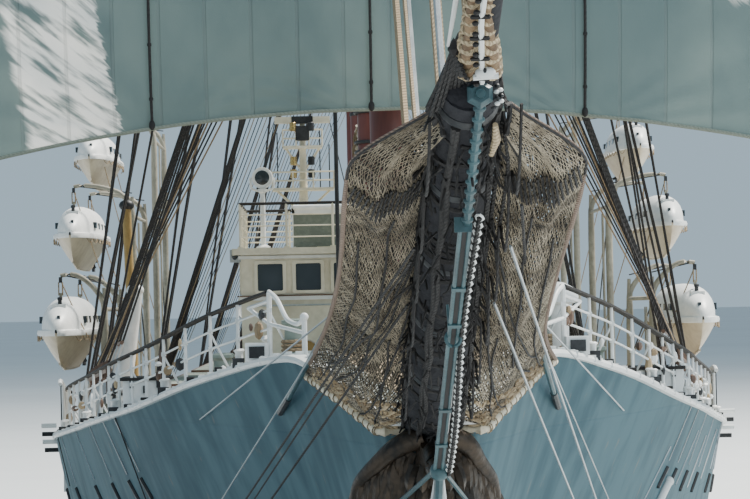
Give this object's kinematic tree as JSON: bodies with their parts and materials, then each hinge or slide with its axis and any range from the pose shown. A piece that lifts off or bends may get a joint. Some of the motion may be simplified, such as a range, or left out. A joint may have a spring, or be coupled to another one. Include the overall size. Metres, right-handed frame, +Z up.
{
  "type": "scale model of a tall ship at 1:10",
  "caption": "Scale model of a white tall ship with a long bowsprit, square sails set on the foremast, stowed gaff sails aft and boats on davits.",
  "frame": {"origin": "on the waterline, on the centre plane, amidships between stem head and taffrail", "axes": "+X to port, +Y aft, +Z up"},
  "size_m": [2.8, 11.3022, 5.4159],
  "materials": {
    "hull_paint": "white marine paint, semi-gloss, weathered",
    "cream_paint": "cream paint, semi-gloss",
    "mast_paint": "red-brown paint, satin",
    "oiled_wood": "dark oiled hardwood",
    "canvas": "off-white sailcloth",
    "dark_rope": "tarred rope",
    "net_rope": "tan rope mesh",
    "bronze": "dark patinated bronze",
    "dark_metal": "dark painted iron",
    "propeller_bronze": "bronze"
  },
  "bodies": {
    "ship": {"hull": "hull_paint", "bowsprit": "oiled_wood", "headsails_furled": "canvas", "net_port": "net_rope", "net_starboard": "net_rope", "bobstay": "cream_paint", "figurehead": "bronze", "rail_port": "cream_paint", "rail_starboard": "cream_paint", "anchor_port": "dark_metal", "anchor_starboard": "dark_metal", "windlass": "dark_metal", "forward_house": "cream_paint", "main_house": "cream_paint", "aft_house": "cream_paint", "poop_house": "cream_paint", "pilothouse": "cream_paint", "roof_rail": "cream_paint", "upper_bridge": "canvas", "searchlight": "cream_paint", "radar_mast": "cream_paint", "davits_port": "cream_paint", "lifeboat_low_port": "hull_paint", "lifeboat_middle_port": "hull_paint", "lifeboat_high_port": "hull_paint", "davits_starboard": "cream_paint", "lifeboat_low_starboard": "hull_paint", "lifeboat_middle_starboard": "hull_paint", "lifeboat_high_starboard": "hull_paint", "foremast": "mast_paint", "mainmast": "mast_paint", "mizzenmast": "mast_paint", "jiggermast": "mast_paint", "foremast_shrouds_port": "dark_rope", "foremast_shrouds_starboard": "dark_rope", "mainmast_shrouds_port": "dark_rope", "mainmast_shrouds_starboard": "dark_rope", "mizzenmast_shrouds_port": "dark_rope", "mizzenmast_shrouds_starboard": "dark_rope", "jiggermast_shrouds_port": "dark_rope", "jiggermast_shrouds_starboard": "dark_rope"},
    "square_rig": {"yard_course": "mast_paint", "sail_course": "canvas", "yard_topsail": "mast_paint", "sail_topsail": "canvas", "yard_topgallant": "mast_paint", "sail_topgallant": "canvas", "yard_royal": "mast_paint", "sail_royal": "canvas"},
    "main_boom": {"boom_main": "oiled_wood", "stowed_sail_main": "canvas"},
    "mizzen_boom": {"boom_mizzen": "oiled_wood", "stowed_sail_mizzen": "canvas"},
    "jigger_boom": {"boom_jigger": "oiled_wood", "stowed_sail_jigger": "canvas"},
    "door_port": {"pilothouse_door_port": "oiled_wood"},
    "door_starboard": {"pilothouse_door_starboard": "oiled_wood"},
    "rudder": {"rudder": "hull_paint"},
    "propeller": {"propeller": "propeller_bronze"},
    "steering_wheel": {"steering_wheel": "oiled_wood"}
  },
  "joints": [
    {"name": "brace_square_rig", "type": "hinge", "parent": "ship", "child": "square_rig", "pos_m": [0, -3, 0.67217], "axis": [0, 0.0349, 0.9994], "range_deg": [-25, 25]},
    {"name": "swing_main_boom", "type": "hinge", "parent": "ship", "child": "main_boom", "pos_m": [0, -1.1, 0.45595], "axis": [0, 0.0436, 0.999], "range_deg": [-22, 22]},
    {"name": "swing_mizzen_boom", "type": "hinge", "parent": "ship", "child": "mizzen_boom", "pos_m": [0, 0.8, 0.4305], "axis": [0, 0.0523, 0.9986], "range_deg": [-35, 35]},
    {"name": "swing_jigger_boom", "type": "hinge", "parent": "ship", "child": "jigger_boom", "pos_m": [0, 2.65, 0.59276], "axis": [0, 0.061, 0.9981], "range_deg": [-35, 35]},
    {"name": "open_door_port", "type": "hinge", "parent": "ship", "child": "door_port", "pos_m": [0.312, -1.5797, 0.82], "axis": [0, 0, -1], "range_deg": [0, 100]},
    {"name": "open_door_starboard", "type": "hinge", "parent": "ship", "child": "door_starboard", "pos_m": [-0.312, -1.5797, 0.82], "axis": [0, 0, 1], "range_deg": [0, 100]},
    {"name": "turn_rudder", "type": "hinge", "parent": "ship", "child": "rudder", "pos_m": [0, 3.82, -0.3], "axis": [0, 0, 1], "range_deg": [-35, 35]},
    {"name": "turn_propeller", "type": "hinge", "parent": "ship", "child": "propeller", "pos_m": [0, 3.64, -0.34], "axis": [0, 1, 0], "continuous": true},
    {"name": "turn_steering_wheel", "type": "hinge", "parent": "ship", "child": "steering_wheel", "pos_m": [0, 3.46, 0.745], "axis": [0, 1, 0], "continuous": true}
  ]
}
